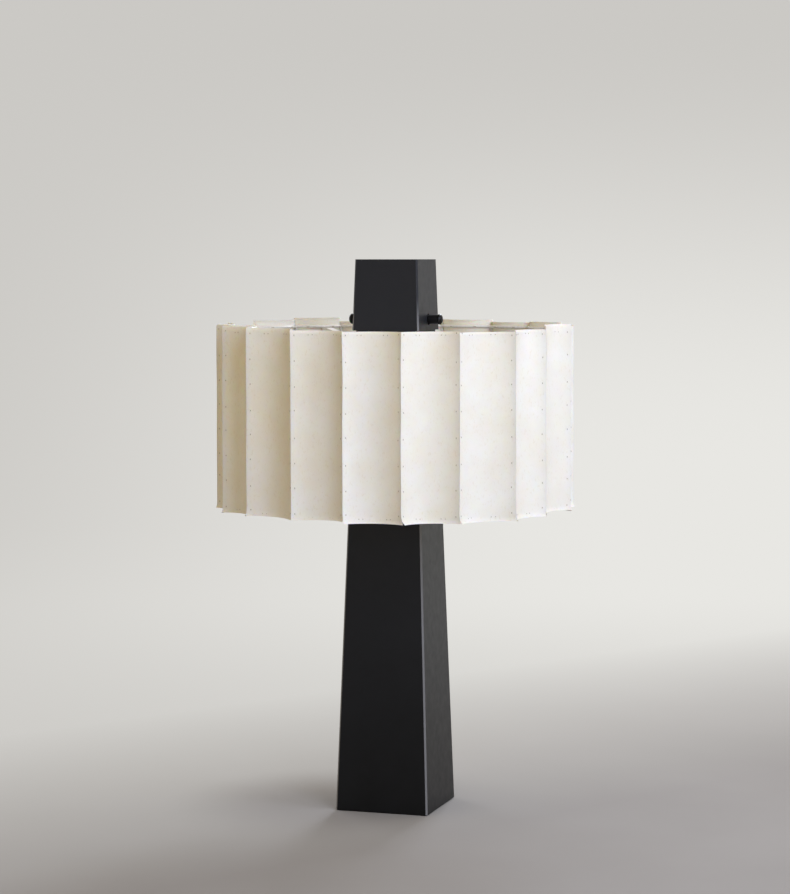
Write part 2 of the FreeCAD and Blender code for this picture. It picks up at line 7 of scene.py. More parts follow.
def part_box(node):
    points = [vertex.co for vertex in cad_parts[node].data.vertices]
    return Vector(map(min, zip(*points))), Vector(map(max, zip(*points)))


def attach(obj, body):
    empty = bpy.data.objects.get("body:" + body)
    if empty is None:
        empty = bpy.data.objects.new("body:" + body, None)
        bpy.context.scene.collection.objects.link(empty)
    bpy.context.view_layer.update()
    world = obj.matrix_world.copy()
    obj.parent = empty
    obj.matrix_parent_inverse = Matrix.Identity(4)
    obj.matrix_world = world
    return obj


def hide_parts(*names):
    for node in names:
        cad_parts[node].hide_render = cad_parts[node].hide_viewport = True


# Table lamp: a tapered square column of blackened steel under a loose steel cap, and round it a
# shade of stiff handmade paper panels, laced edge to edge over a scalloped wire frame.

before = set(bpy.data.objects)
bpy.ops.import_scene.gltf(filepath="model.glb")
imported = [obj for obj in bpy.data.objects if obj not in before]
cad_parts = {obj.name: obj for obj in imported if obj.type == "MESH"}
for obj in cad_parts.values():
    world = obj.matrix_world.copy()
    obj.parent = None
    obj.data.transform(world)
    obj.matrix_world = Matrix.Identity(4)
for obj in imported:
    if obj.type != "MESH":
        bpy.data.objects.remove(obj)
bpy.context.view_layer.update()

MM = 0.001
LAMP = "lamp"


# ---- small tools -----------------------------------------------------------------------------


def colour(code):
    """Linear colour of an sRGB hex value."""
    parts = [int(code[place:place + 2], 16) / 255 for place in (1, 3, 5)]
    linear = [part / 12.92 if part <= 0.04045 else ((part + 0.055) / 1.055) ** 2.4 for part in parts]
    return (*linear, 1.0)


def add_node(tree, kind, links=None, values=None, stops=(), **settings):
    """New shader node.

    links gives the sources of its inputs, values their numbers, stops the places and colours of
    its ramp, and settings its properties.
    """
    new = tree.nodes.new(kind)
    for name, value in settings.items():
        setattr(new, name, value)
    for place, value in (values or {}).items():
        new.inputs[place].default_value = value
    for place, source in (links or {}).items():
        tree.links.new(source, new.inputs[place])
    for element, (place, code) in zip(new.color_ramp.elements if stops else (), stops):
        element.position = place
        element.color = colour(code)
    return new


def new_material(name):
    """Material with one Principled shader, and its tree."""
    made = bpy.data.materials.new(name)
    made.use_nodes = True
    tree = made.node_tree
    tree.nodes.clear()
    shader = add_node(tree, "ShaderNodeBsdfPrincipled")
    add_node(tree, "ShaderNodeOutputMaterial", {"Surface": shader.outputs["BSDF"]})
    return made, tree, shader


def place_of(tree, stretch=(1, 1, 1)):
    """Coordinates on the piece in metres, stretched so that a pattern can run one way."""
    spot = add_node(tree, "ShaderNodeTexCoord").outputs["Object"]
    mapping = add_node(tree, "ShaderNodeMapping", {"Vector": spot}, {"Scale": stretch})
    return mapping.outputs["Vector"]


def per_metre(size_mm):
    """Texture scale at which one feature is about size_mm wide."""
    return 1 / (size_mm * MM)


def new_piece(name, points, faces, finish, body=LAMP, crisp=40):
    """Mesh object that rides on a body; edges that turn by more than crisp degrees stay sharp."""
    mesh = bpy.data.meshes.new(name)
    mesh.from_pydata([tuple(point) for point in points], [], faces)
    mesh.validate()
    mesh.polygons.foreach_set("use_smooth", [True] * len(mesh.polygons))
    mesh.set_sharp_from_angle(angle=math.radians(crisp))
    piece = bpy.data.objects.new(name, mesh)
    bpy.context.scene.collection.objects.link(piece)
    mesh.materials.append(finish)
    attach(piece, body)
    return piece


def grid_faces(rows, columns, wrap_rows=False, wrap_columns=False, start=0):
    """Faces between rows x columns of points that were listed row by row."""
    faces = []
    for row in range(rows if wrap_rows else rows - 1):
        for column in range(columns if wrap_columns else columns - 1):
            next_row = (row + 1) % rows
            next_column = (column + 1) % columns
            faces.append(
                (
                    start + row * columns + column,
                    start + row * columns + next_column,
                    start + next_row * columns + next_column,
                    start + next_row * columns + column,
                )
            )
    return faces


def rod(path, radius, closed=False, sides=12):
    """Points and faces of a round rod along a path."""
    points = []
    count = len(path)
    across = None
    for index, spot in enumerate(path):
        before = path[index - 1] if closed or index else spot
        after = path[(index + 1) % count] if closed or index < count - 1 else spot
        way = (after - before).normalized()
        guide = across if across is not None else Vector((0, 0, 1) if abs(way.z) < 0.9 else (1, 0, 0))
        across = (guide - way * guide.dot(way)).normalized()
        second = way.cross(across)
        for side in range(sides):
            turn = math.tau * side / sides
            points.append(spot + radius * (across * math.cos(turn) + second * math.sin(turn)))
    faces = grid_faces(count, sides, wrap_rows=closed, wrap_columns=True)
    if not closed:
        faces.append(tuple(range(sides))[::-1])
        faces.append(tuple(range((count - 1) * sides, count * sides)))
    return points, faces


def lathe(profile, place, sides=64):
    """Points and faces of a profile of (radius, distance) turned about an axis; place maps them."""
    points = []
    for radius, along in profile:
        for side in range(sides):
            turn = math.tau * side / sides
            points.append(place(radius * math.cos(turn), radius * math.sin(turn), along))
    return points, grid_faces(len(profile), sides, wrap_columns=True)


def joined(*solids):
    """Points and faces of several solids as one."""
    points, faces = [], []
    for more_points, more_faces in solids:
        first = len(points)
        points += list(more_points)
        faces += [tuple(first + corner for corner in face) for face in more_faces]
    return points, faces


# ---- finishes --------------------------------------------------------------------------------


# Between these two values lies most of a noise texture.
NOISE_LOW = 0.3
NOISE_HIGH = 0.7

# Patterns of the paper, in millimetres. Its fibres and its tooth are finer in truth, and are drawn
# coarser so that they show.
PULP_CLOUD = 38
RAG_FIBRE = 1.8
PAPER_TOOTH = 1.4


def handmade_paper():
    """Handmade cotton rag paper, sized and air dried: a matt, faintly mottled cream sheet.

    The cloudy formation of the pulp varies its cream colour over a few centimetres, a few short
    fibres fleck it, and light that enters one side leaves the other a little warmer.
    """
    made, tree, shader = new_material("handmade_rag_paper")
    spot = place_of(tree)
    clouds = add_node(
        tree, "ShaderNodeTexNoise", {"Vector": spot},
        {"Scale": per_metre(PULP_CLOUD), "Detail": 3.0, "Roughness": 0.5},
    )
    pulp = add_node(
        tree, "ShaderNodeValToRGB", {"Fac": clouds.outputs["Fac"]},
        stops=((NOISE_LOW, "#f6f1e4"), (NOISE_HIGH, "#fbf8f0")),
    )
    fibre = add_node(
        tree, "ShaderNodeTexNoise", {"Vector": place_of(tree, (1, 1, 0.5))},
        {"Scale": per_metre(RAG_FIBRE), "Detail": 2.0},
    )
    fleck = add_node(
        tree, "ShaderNodeValToRGB", {"Fac": fibre.outputs["Fac"]},
        stops=((NOISE_LOW, "#e6dcc6"), (0.42, "#ffffff")),
    )
    flecked = add_node(
        tree, "ShaderNodeMix", {6: pulp.outputs["Color"], 7: fleck.outputs["Color"]}, {0: 0.22},
        data_type="RGBA", blend_type="MULTIPLY",
    )
    tree.links.new(flecked.outputs[2], shader.inputs["Base Color"])
    shader.inputs["Roughness"].default_value = 0.85
    shader.inputs["Specular IOR Level"].default_value = 0.25
    shader.inputs["IOR"].default_value = 1.5
    shader.inputs["Subsurface Weight"].default_value = 0.4
    shader.inputs["Subsurface Radius"].default_value = (1.0, 0.72, 0.38)
    shader.inputs["Subsurface Scale"].default_value = 1.2 * MM
    tooth = add_node(
        tree, "ShaderNodeTexNoise", {"Vector": spot},
        {"Scale": per_metre(PAPER_TOOTH), "Detail": 4.0, "Roughness": 0.6},
    )
    bump = add_node(
        tree, "ShaderNodeBump", {"Height": tooth.outputs["Fac"]},
        {"Strength": 0.25, "Distance": 0.12 * MM},
    )
    tree.links.new(bump.outputs["Normal"], shader.inputs["Normal"])
    return made


# Patterns of the blackened steel, in millimetres. The tooth of the wax is finer in truth, and is
# drawn coarser so that it shows.
PATINA_DRIFT = 60
WAX_RUB = 9
WAX_TOOTH = 1.2
# Painted shade: the grey lightens from the foot up over this height, and the patina's drift moves
# that by this share.
PAINTED_SHADE_CLIMB = 560 * MM
DRIFT_SHARE = 0.35
# A waxed patina reflects less than a bare dielectric of its index.
STEEL_GLOSS = 0.22
# A bevel faces between two sides of the column, where the product of its two level directions is
# largest: it starts to turn lighter, as wear and as a painted highlight, at the first value and is
# lighter all over at the second.
BEVEL_START = 0.3
BEVEL_FULL = 0.45
# The lighter edges, wear and painted highlight, end within the lowest part of the cap, which
# hands touch less than the column.
CAP_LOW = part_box("cap")[0].z
WEAR_AND_HIGHLIGHT_END = CAP_LOW + 40 * MM


def blackened_steel(name, light, dark, edge_wear_and_highlight, roughness):
    """Hot-rolled steel plate, blackened with a gun-blue patina and waxed: a dark satin skin.

    The patina takes unevenly, so its grey drifts over a few centimetres. On top of that the grey is
    painted shade: darker towards the foot, lighter on the cap. Along the column's bevelled edges it
    turns lighter, as wear to bare steel and as a painted highlight. The wax leaves a fine tooth that
    softens reflections.
    """
    made, tree, shader = new_material(name)
    spot = place_of(tree)
    drift = add_node(
        tree, "ShaderNodeTexNoise", {"Vector": spot},
        {"Scale": per_metre(PATINA_DRIFT), "Detail": 4.0, "Roughness": 0.6},
    )
    height = add_node(tree, "ShaderNodeSeparateXYZ", {"Vector": spot}).outputs["Z"]
    painted_shade_climb = add_node(
        tree, "ShaderNodeMapRange", {"Value": height}, {"From Min": 0.0, "From Max": PAINTED_SHADE_CLIMB}
    )
    drift_and_painted_shade = add_node(
        tree, "ShaderNodeMath", {0: drift.outputs["Fac"], 2: painted_shade_climb.outputs["Result"]},
        {1: DRIFT_SHARE}, operation="MULTIPLY_ADD",
    )
    # Painted shade: the ramp runs from the dark tone at the foot to the light one at the cap.
    patina = add_node(
        tree, "ShaderNodeValToRGB", {"Fac": drift_and_painted_shade.outputs[0]}, stops=((0.15, dark), (1.0, light))
    )
    facing = add_node(tree, "ShaderNodeTexCoord").outputs["Normal"]
    lean = add_node(tree, "ShaderNodeSeparateXYZ", {"Vector": facing})
    product = add_node(
        tree, "ShaderNodeMath", {0: lean.outputs["X"], 1: lean.outputs["Y"]}, operation="MULTIPLY"
    )
    between = add_node(tree, "ShaderNodeMath", {0: product.outputs[0]}, operation="ABSOLUTE")
    bevel = add_node(
        tree, "ShaderNodeMapRange", {"Value": between.outputs[0]},
        {"From Min": BEVEL_START, "From Max": BEVEL_FULL}, interpolation_type="SMOOTHSTEP",
    )
    below_cap = add_node(
        tree, "ShaderNodeMapRange", {"Value": height},
        {"From Min": WEAR_AND_HIGHLIGHT_END, "From Max": CAP_LOW}, interpolation_type="SMOOTHSTEP",
    )
    wear_and_highlight_mask = add_node(
        tree, "ShaderNodeMath", {0: bevel.outputs["Result"], 1: below_cap.outputs["Result"]},
        operation="MULTIPLY",
    )
    # Along the bevels the grey turns lighter: wear to bare steel, and a painted highlight.
    edge_wear_and_highlight_mix = add_node(
        tree, "ShaderNodeMix", {0: wear_and_highlight_mask.outputs[0], 6: patina.outputs["Color"]},
        {7: colour(edge_wear_and_highlight)}, data_type="RGBA", blend_type="MIX",
    )
    tree.links.new(edge_wear_and_highlight_mix.outputs[2], shader.inputs["Base Color"])
    rub = add_node(
        tree, "ShaderNodeTexNoise", {"Vector": spot}, {"Scale": per_metre(WAX_RUB), "Detail": 5.0}
    )
    spread = add_node(
        tree, "ShaderNodeMapRange", {"Value": rub.outputs["Fac"]},
        {"From Min": 0.2, "From Max": 0.8, "To Min": roughness - 0.04, "To Max": roughness + 0.06},
    )
    tree.links.new(spread.outputs["Result"], shader.inputs["Roughness"])
    shader.inputs["Specular IOR Level"].default_value = STEEL_GLOSS
    tooth = add_node(
        tree, "ShaderNodeTexNoise", {"Vector": spot},
        {"Scale": per_metre(WAX_TOOTH), "Detail": 4.0},
    )
    bump = add_node(
        tree, "ShaderNodeBump", {"Height": tooth.outputs["Fac"]},
        {"Strength": 0.1, "Distance": 0.08 * MM},
    )
    tree.links.new(bump.outputs["Normal"], shader.inputs["Normal"])
    return made


def speckled(name, light, dark, grain_mm, roughness, metallic=0.0):
    """Plain finish of two near tones in a fine grain of grain_mm."""
    made, tree, shader = new_material(name)
    grain = add_node(
        tree, "ShaderNodeTexNoise", {"Vector": place_of(tree)},
        {"Scale": per_metre(grain_mm), "Detail": 4.0},
    )
    tone = add_node(
        tree, "ShaderNodeValToRGB", {"Fac": grain.outputs["Fac"]},
        stops=((NOISE_LOW, dark), (NOISE_HIGH, light)),
    )
    tree.links.new(tone.outputs["Color"], shader.inputs["Base Color"])
    shader.inputs["Roughness"].default_value = roughness
    shader.inputs["Metallic"].default_value = metallic
    bump = add_node(
        tree, "ShaderNodeBump", {"Height": grain.outputs["Fac"]},
        {"Strength": 0.2, "Distance": 0.1 * MM},
    )
    tree.links.new(bump.outputs["Normal"], shader.inputs["Normal"])
    return made


# Each plain finish gives its grain in millimetres. Grains under 2 mm are finer in truth, and are
# drawn coarser so that they show from close by.
PAPER = handmade_paper()
# Folded plate: a dark grey, painted nearly black at the foot as shade; its edges lighter, as wear
# to bare steel and as a painted highlight.
STEEL = blackened_steel("blackened_steel_plate", "#242529", "#08090b", "#777778", 0.4)
# Turned knobs: the same patina, darker and smoother, with no rubbed edges.
KNOB_STEEL = blackened_steel("blackened_turned_steel", "#161617", "#0e0e0f", "#161617", 0.3)
# Steel wire and strip, stove enamelled: a white, satin coat.
WIRE = speckled("white_enamelled_steel", "#f2f0ea", "#e6e3db", 3, 0.38)
# Square steel tube, powder coated: black, satin.
ARM_STEEL = speckled("black_coated_steel", "#232323", "#161616", 3, 0.42)
# Linen thread, waxed: the stitches that lace the panels, darker than the paper.
THREAD = speckled("waxed_linen_thread", "#cfc7b5", "#b1a894", 0.5, 0.8)
# Phenolic moulding: dense black with a dull shine.
PHENOLIC = speckled("black_phenolic_moulding", "#1b1918", "#100f0e", 1.5, 0.35)
# Brass, turned and nickel plated: the bulb's screw base.
NICKEL = speckled("nickel_plated_brass", "#b9b4a8", "#8f8a80", 0.8, 0.28, 1.0)
# Opal glass, flashed white inside: even and glossy.
OPAL = speckled("opal_glass", "#f4f1ea", "#e8e4da", 30, 0.12)
# Mild steel plate as it comes from the mill, oiled.
MILL_STEEL = speckled("mill_steel", "#5d5c5a", "#434240", 6, 0.45, 0.9)
# Zinc-plated fasteners and shafts: bright, faintly blue.
ZINC = speckled("zinc_plated_steel", "#b4b7bb", "#8b8f95", 1.0, 0.3, 1.0)
# Pressed wool felt under the foot: soft, matt and fibrous.
FELT = speckled("pressed_wool_felt", "#2b2a29", "#161515", 0.9, 0.95)


# ---- shade -----------------------------------------------------------------------------------

SHADE_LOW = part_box("pleat_01")[0].z
SHADE_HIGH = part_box("pleat_01")[1].z
CREST_REACH = 198.8 * MM
PANELS = 20
SHADE_TURN = math.radians(1.2)
FLUTE_DEPTH = 13 * MM
SHEET = 0.8 * MM
WIRE_RADIUS = 1.5 * MM
WIRE_GAP = 0.3 * MM
# The middle of a ring's wire lies this far behind a flute's outer face, and of a rib's behind its
# crest.
RING_INSET = SHEET + WIRE_GAP + WIRE_RADIUS
RIB_INSET = 4.5 * MM
# Where hand work moved a crest from its even place: outwards and to the right, in millimetres.
CREST_WANDER = {
    16: (-0.2, 0.0), 17: (1.0, 0.0), 18: (0.8, -2.0), 19: (-1.5, 1.5), 0: (0.0, 0.9),
    1: (0.0, 0.0), 2: (0.0, 0.0), 3: (3.4, 4.1), 4: (-2.8, -1.8),
}
# How far the lowest tip of a crest bends to the right, in millimetres.
TIP_BEND = {5: 0.2, 6: -0.6, 16: 0.6, 17: 0.3, 18: -1.0, 19: 0.6, 0: 1.0, 1: 3.0, 2: 2.4, 3: 1.4}
# How far a panel is cut short below, at its left and right end, and stands high above, in
# millimetres; the sheets were cut and laced by hand, so no two line up.
PANEL_CUT = {
    15: (1.5, 1.0, 1.5), 16: (0.8, 0.8, 1.2), 17: (1.4, 2.4, 1.0), 18: (3.0, 2.4, 0.5),
    19: (2.2, 3.6, -1.1), 0: (1.2, 0.7, -1.8), 1: (0.7, 0.7, -1.8), 2: (0.4, 1.0, -2.8),
    3: (0.6, 1.6, -1.3), 4: (3.0, 3.2, 2.8), 7: (1.0, 2.0, 1.8), 8: (1.5, 0.5, 0.2),
    9: (0.5, 1.5, 2.4), 10: (1.0, 1.0, 0.0), 12: (2.0, 1.0, 4.6), 13: (1.0, 2.0, 2.6),
}

# How far hand work may move what the two tables above don't give, in millimetres.
CREST_OUT_STRAY = 1.2
CREST_SIDE_STRAY = 1.8
CUT_RANGE = (0.2, 2.6)
RISE_RANGE = (-1.5, 2.0)
TIP_STRAY = 1.5
# How far a flute leans out of its even arc near its upper and its lower hem, in millimetres.
LEAN_ABOVE_RANGE = (1.0, 2.4)
LEAN_BELOW_RANGE = (-0.6, 0.9)

hand = random.Random(20)


def crest_places():
    """Radius and angle of each crest, measured from the lamp's front towards its right."""
    places = []
    for number in range(PANELS):
        loose = (
            hand.uniform(-CREST_OUT_STRAY, CREST_OUT_STRAY),
            hand.uniform(-CREST_SIDE_STRAY, CREST_SIDE_STRAY),
        )
        outwards, sideways = CREST_WANDER.get(number, loose)
        angle = SHADE_TURN + math.tau * number / PANELS
        places.append((CREST_REACH + outwards * MM, angle + sideways * MM / CREST_REACH))
    return places


def panel_cuts():
    """Cut at the lower left and right corner and rise of the upper edge of each panel."""
    cuts = []
    for number in range(PANELS):
        loose = (hand.uniform(*CUT_RANGE), hand.uniform(*CUT_RANGE), hand.uniform(*RISE_RANGE))
        cuts.append(tuple(length * MM for length in PANEL_CUT.get(number, loose)))
    return cuts


def tip_bends():
    """How far the lowest tip of each crest bends to the right."""
    bends = []
    for number in range(PANELS):
        loose = hand.uniform(-TIP_STRAY, TIP_STRAY)
        bends.append(TIP_BEND.get(number, loose) * MM)
    return bends


def flute_leans():
    """How far each flute leans near its upper and its lower hem."""
    leans = []
    for _ in range(PANELS):
        above = hand.uniform(*LEAN_ABOVE_RANGE) * MM
        below = hand.uniform(*LEAN_BELOW_RANGE) * MM
        leans.append((above, below))
    return leans


CRESTS = crest_places()
CUTS = panel_cuts()
TIPS = tip_bends()
LEANS = flute_leans()

# A hand-cut crest strays outwards and sideways by up to these amounts, over about these lengths.
CREST_WAVE_OUT = 0.6 * MM
CREST_WAVE_OUT_LENGTH = 45 * MM
CREST_WAVE_SIDE = 0.7 * MM
CREST_WAVE_SIDE_LENGTH = 60 * MM
# The tip below bends over this height, and stands out by this much.
TIP_TALL = 12 * MM
TIP_OUT = 0.5 * MM
# A hand-bent flute varies in depth, and its sheet cockles, by up to these amounts.
SWELL = 0.8 * MM
SWELL_LENGTH = 80 * MM
COCKLE = 0.5 * MM
COCKLE_LENGTH = 34 * MM
COCKLES_ACROSS = 2.2
# Reach of the leans from either hem; the upper hem's roll inwards and the lower one's flare.
LEAN_ABOVE_REACH = 75 * MM
LEAN_BELOW_REACH = 50 * MM
HEM_ROLL = 0.7 * MM
HEM_ROLL_REACH = 3.5 * MM
HEM_FLARE = 1.3 * MM
HEM_FLARE_REACH = 4.5 * MM


def fade(distance, reach):
    """One at no distance, falling smoothly to nothing at a reach."""
    left = max(0.0, 1 - distance / reach)
    return left * left


def on_ray(radius, angle, height):
    """Point at a radius and an angle from the front towards the right."""
    return Vector((radius * math.sin(angle), -radius * math.cos(angle), height))


def uneven(number, along, kind):
    """Smooth wave from -1 to 1; each crest or flute, and each kind of wave, has another."""
    apart, row = kind
    return noise.noise(Vector((number * apart, along, row)))


def crest_point(number, height, inset=0.0):
    """Point of a crest at a height, with the slight waver of a hand-cut edge."""
    number %= PANELS
    radius, angle = CRESTS[number]
    outwards = CREST_WAVE_OUT * uneven(number, height / CREST_WAVE_OUT_LENGTH, (7.3, 0.5))
    sideways = CREST_WAVE_SIDE * uneven(number, height / CREST_WAVE_SIDE_LENGTH, (3.1, 9.5))
    tip = fade(height - SHADE_LOW, TIP_TALL)
    radius += outwards + TIP_OUT * tip
    sideways += TIPS[number] * tip
    return on_ray(radius - inset, angle + sideways / radius, height)


def flute_point(number, share, height, inset=0.0):
    """Point of panel number at a share of its width, inset towards the lamp's axis."""
    start, end = crest_point(number, height), crest_point(number + 1, height)
    chord = end - start
    cockle = noise.noise(
        Vector((number * 9.1 + share * COCKLES_ACROSS, height / COCKLE_LENGTH, 6.1))
    )
    depth = FLUTE_DEPTH + SWELL * uneven(number, height / SWELL_LENGTH, (5.7, 3.3))
    half = chord.length / 2
    radius = (half * half + depth * depth) / (2 * depth)
    turn = (2 * share - 1) * math.asin(half / radius)
    inwards = Vector((0, 0, 1)).cross(chord).normalized()
    if inwards.dot(start) > 0:
        inwards.negate()
    middle = (start + end) / 2 + inwards * (depth - radius)
    radial = inwards * math.cos(turn) + chord.normalized() * math.sin(turn)
    above, below = LEANS[number % PANELS]
    lean = above * fade(SHADE_HIGH - height, LEAN_ABOVE_REACH)
    lean += below * fade(height - SHADE_LOW, LEAN_BELOW_REACH)
    roll = HEM_ROLL * fade(SHADE_HIGH - height, HEM_ROLL_REACH)
    flare = HEM_FLARE * fade(height - SHADE_LOW, HEM_FLARE_REACH)
    bend = COCKLE * cockle * math.sin(math.pi * share) - lean * math.sin(math.tau * share)
    return middle + radial * (radius + inset + bend + roll - flare)


# Rises of a panel's rows from either hem, in millimetres, close together where it rolls or flares.
HEM_ROWS = (0, 0.5, 1.1, 1.8, 2.6, 3.5, 4.6, 6.2, 8.5, 12)
BODY_STEPS = 38
PANEL_COLUMNS = 33
# Share of its width by which a sheet's outer and inner face end short of the crest: two sheets
# meet there in a mitre and don't run through each other.
OUTER_MARGIN = 0.0012
INNER_MARGIN = 0.0165


def panel_rises():
    """Rises of a panel's rows above its lower edge."""
    low = [rise * MM for rise in HEM_ROWS]
    high = [SHADE_HIGH - SHADE_LOW - rise for rise in reversed(low)]
    span = high[0] - low[-1]
    return low + [low[-1] + span * step / BODY_STEPS for step in range(1, BODY_STEPS)] + high


def make_panel(number):
    """One sheet bent into a flute, its upper hem rolled in and its lower hem flared a little."""
    points = []
    cut_left, cut_right, rise_above = CUTS[number]
    rises = panel_rises()
    for inset, margin in ((0.0, OUTER_MARGIN), (SHEET, INNER_MARGIN)):
        for rise in rises:
            share_up = rise / (SHADE_HIGH - SHADE_LOW)
            for column in range(PANEL_COLUMNS):
                share = margin + (1 - 2 * margin) * column / (PANEL_COLUMNS - 1)
                cut = cut_left + (cut_right - cut_left) * share
                point = flute_point(number, share, SHADE_LOW + rise, inset)
                point.z += cut * (1 - share_up) + rise_above * share_up
                points.append(point)
    rows = len(rises)
    size = rows * PANEL_COLUMNS
    outer = grid_faces(rows, PANEL_COLUMNS)
    inner = [tuple(corner + size for corner in face)[::-1] for face in outer]
    rim = [row * PANEL_COLUMNS for row in range(rows - 1, -1, -1)]
    rim += list(range(1, PANEL_COLUMNS))
    rim += [row * PANEL_COLUMNS + PANEL_COLUMNS - 1 for row in range(1, rows)]
    rim += [size - 1 - step for step in range(1, PANEL_COLUMNS - 1)]
    edge = []
    for place, corner in enumerate(rim):
        following = rim[(place + 1) % len(rim)]
        edge.append((corner, corner + size, following + size, following))
    piece = new_piece(f"paper_panel_{number + 1:02d}", points, outer + inner + edge, PAPER)
    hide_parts(f"pleat_{number + 1:02d}")


for panel in range(PANELS):
    make_panel(panel)


# ---- wire frame and lacing -------------------------------------------------------------------

TOP_WIRE = SHADE_HIGH - 5.5 * MM
LOW_WIRE = SHADE_LOW + 5.5 * MM
# Share of a flute's width at either end that a ring's wire leaves out, to turn within the fold.
RING_CORNER = 0.06
RING_STEPS = 14
RIB_STEPS = 12


def make_ring(name, node, height):
    """Round wire bent to the flutes, its corners tucked into the folds."""
    path = []
    for number in range(PANELS):
        for step in range(RING_STEPS):
            share = RING_CORNER + (1 - 2 * RING_CORNER) * step / (RING_STEPS - 1)
            path.append(flute_point(number, share, height, RING_INSET))
    ring = new_piece(name, *rod(path, WIRE_RADIUS, closed=True), WIRE)
    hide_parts(node)


def make_ribs():
    """An upright wire behind each crest, from ring to ring."""
    tall = TOP_WIRE - LOW_WIRE
    heights = [LOW_WIRE + tall * step / RIB_STEPS for step in range(RIB_STEPS + 1)]
    solids = []
    for number in range(PANELS):
        path = [crest_point(number, height, RIB_INSET) for height in heights]
        solids.append(rod(path, WIRE_RADIUS))
    ribs = new_piece("crest_wires", *joined(*solids), WIRE)
    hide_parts("crest_ribs")


make_ring("upper_ring_wire", "top_ring", TOP_WIRE)
make_ring("lower_ring_wire", "bottom_ring", LOW_WIRE)
make_ribs()

THREAD_RADIUS = 0.4 * MM
# Stitches over a crest: the first above the lower hem, the last below the upper one.
FIRST_STITCH = 9 * MM
LAST_STITCH = 5 * MM
STITCH_STEP = 27 * MM
# How far a stitch strays up or down, and one of its ends from the other, in millimetres.
STITCH_STRAY = 1.5
STITCH_SLANT = 1
TIE_SLANT = 0.5
# Pinholes, as shares of a flute's width: from the crest, and apart from each other at a ring.
HOLE_FROM_CREST = 0.062
HOLE_SPACING = 0.032
# Shares of a panel's width at which it is tied to a ring.
RING_TIES = (0.28, 0.68)
TIE_STRAY = 0.05
# Half the height of the knots at the crests and at the rings.
CREST_KNOT = 1.1 * MM
RING_KNOT = 0.7 * MM
# How far behind a sheet's outer face the ends of a stitch lie.
THREAD_INSET = SHEET + 0.3 * MM
# A knot's rings from the crown down: share of its full size, and height off the paper.
KNOT_RINGS = ((0.5, 0.34 * MM), (0.76, 0.18 * MM), (0.9, -0.1 * MM))
KNOT_CROWN = 0.45 * MM
KNOT_HALF_WIDTH = 0.62 * MM
KNOT_SIDES = 8


def knot(place, outwards, tall):
    """Small flattened knob of thread over a pinhole."""
    upright = Vector((0, 0, 1))
    across = upright.cross(outwards).normalized()
    out = across.cross(upright)
    points = [place + out * KNOT_CROWN]
    for size, lift in KNOT_RINGS:
        for side in range(KNOT_SIDES):
            turn = math.tau * side / KNOT_SIDES
            sideways = across * math.cos(turn) * KNOT_HALF_WIDTH * size
            points.append(place + sideways + upright * math.sin(turn) * tall * size + out * lift)
    faces = [(0, 1 + side, 1 + (side + 1) % KNOT_SIDES) for side in range(KNOT_SIDES)]
    return points, faces + grid_faces(len(KNOT_RINGS), KNOT_SIDES, wrap_columns=True, start=1)


def stitch(first, second, middle, tall):
    """Thread between two pinholes of (panel, share, height) that runs behind a wire."""
    solids, ends = [], []
    for number, share, height in (first, second):
        outside = flute_point(number, share, height)
        inner = flute_point(number, share, height, THREAD_INSET)
        solids.append(knot(outside, outside - inner, tall))
        ends.append(inner)
    path = [ends[0], *middle, ends[1]]
    return [*solids, rod(path, THREAD_RADIUS, sides=6)]


def stray(most):
    """Random length of up to so many millimetres either way."""
    return hand.uniform(-most, most) * MM


def crest_stitches(number):
    """Stitches over the crest at a panel's left, round the rib behind it."""
    solids = []
    height = SHADE_LOW + FIRST_STITCH
    behind = RIB_INSET + WIRE_RADIUS + THREAD_RADIUS
    while height < SHADE_HIGH - LAST_STITCH:
        here = height + stray(STITCH_STRAY)
        left = (number - 1, 1 - HOLE_FROM_CREST, here + stray(STITCH_SLANT))
        right = (number, HOLE_FROM_CREST, here)
        solids += stitch(left, right, [crest_point(number, here, behind)], CREST_KNOT)
        height += STITCH_STEP
    return solids


def ring_stitches(number):
    """Stitches that tie a panel to both rings."""
    solids = []
    behind = RING_INSET + WIRE_RADIUS + THREAD_RADIUS
    for wire in (TOP_WIRE, LOW_WIRE):
        for tie in RING_TIES:
            share = tie + hand.uniform(-TIE_STRAY, TIE_STRAY)
            first = (number, share, wire + stray(TIE_SLANT))
            second = (number, share + 2 * HOLE_SPACING, wire)
            middle = [
                flute_point(number, share + step * HOLE_SPACING, wire, behind) for step in (0.5, 1.5)
            ]
            solids += stitch(first, second, middle, RING_KNOT)
    return solids


def make_lacing(number):
    """Thread that laces a panel to its left neighbour and to both rings."""
    solids = crest_stitches(number) + ring_stitches(number)
    lacing = new_piece(f"lacing_{number + 1:02d}", *joined(*solids), THREAD)


for panel in range(PANELS):
    make_lacing(panel)


# ---- knobs, lampholders and bulbs ------------------------------------------------------------


def placed(name, node, finish, solids, body=LAMP, crisp=40):
    """Piece of several solids that stands for a CAD node."""
    piece = new_piece(name, *joined(*solids), finish, body, crisp)
    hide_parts(node)


def outline(start, *pairs):
    """Profile for the lathe, from pairs of a radius and a rise above the start in millimetres."""
    return [(radius * MM, start + rise * MM) for radius, rise in pairs]


KNOB_LOW, KNOB_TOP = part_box("knob_right")
KNOB_RADIUS = (KNOB_TOP.z - KNOB_LOW.z) / 2
KNOB_RISE = (KNOB_TOP.z + KNOB_LOW.z) / 2
KNOB_BORE = 2.05 * MM
# The domed end stands out past the barrel by the step, and the dome ends at the tip.
KNOB_STEP = 0.7 * MM
KNOB_DOME = 3.6 * MM
KNOB_TIP = KNOB_TOP.x + 0.8 * MM
KNOB_ROUND = 0.4 * MM
DOME_STEPS = 12
# Under one, this makes the dome fuller than a half ellipse.
DOME_FULLNESS = 0.8


